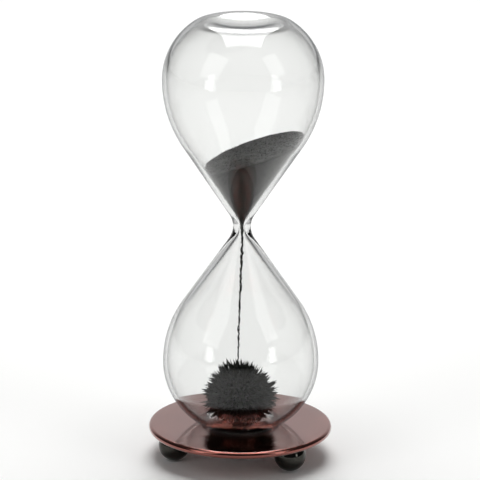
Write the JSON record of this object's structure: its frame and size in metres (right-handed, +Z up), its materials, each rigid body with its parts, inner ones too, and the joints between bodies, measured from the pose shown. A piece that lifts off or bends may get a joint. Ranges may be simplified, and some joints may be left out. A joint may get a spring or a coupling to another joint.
{
  "type": "magnetic hourglass",
  "caption": "Sealed glass hourglass with dished ends, filled with iron filings, standing loose on a round lacquered magnetic base with ball feet.",
  "frame": {"origin": "on the floor under the middle of the base plate, where the ball feet rest", "axes": "+Z up along the vessel's axis, front towards -Y, the low side of the filings towards -X"},
  "size_m": [0.06, 0.06, 0.1462],
  "materials": {
    "clear_glass": "polished",
    "iron_filings": "matte",
    "lacquered_plate": "gloss",
    "adhesive": "satin",
    "nickel_magnet": "satin",
    "steel_cup": "satin",
    "polished_ball": "polished"
  },
  "bodies": {
    "base": {"base_plate": "lacquered_plate", "magnet_adhesive": "adhesive", "magnet": "nickel_magnet", "magnet_cup": "steel_cup", "foot_adhesive": "adhesive", "foot_right": "polished_ball", "foot_back": "polished_ball", "foot_left": "polished_ball"},
    "vessel": {"glass_vessel": "clear_glass", "iron_charge": "iron_filings", "iron_stream": "iron_filings", "iron_mound": "iron_filings"}
  },
  "joints": [
    {"name": "vessel_lift", "type": "slide", "parent": "base", "child": "vessel", "axis": [0, 0, 1], "range_m": [0, 0.06]}
  ]
}
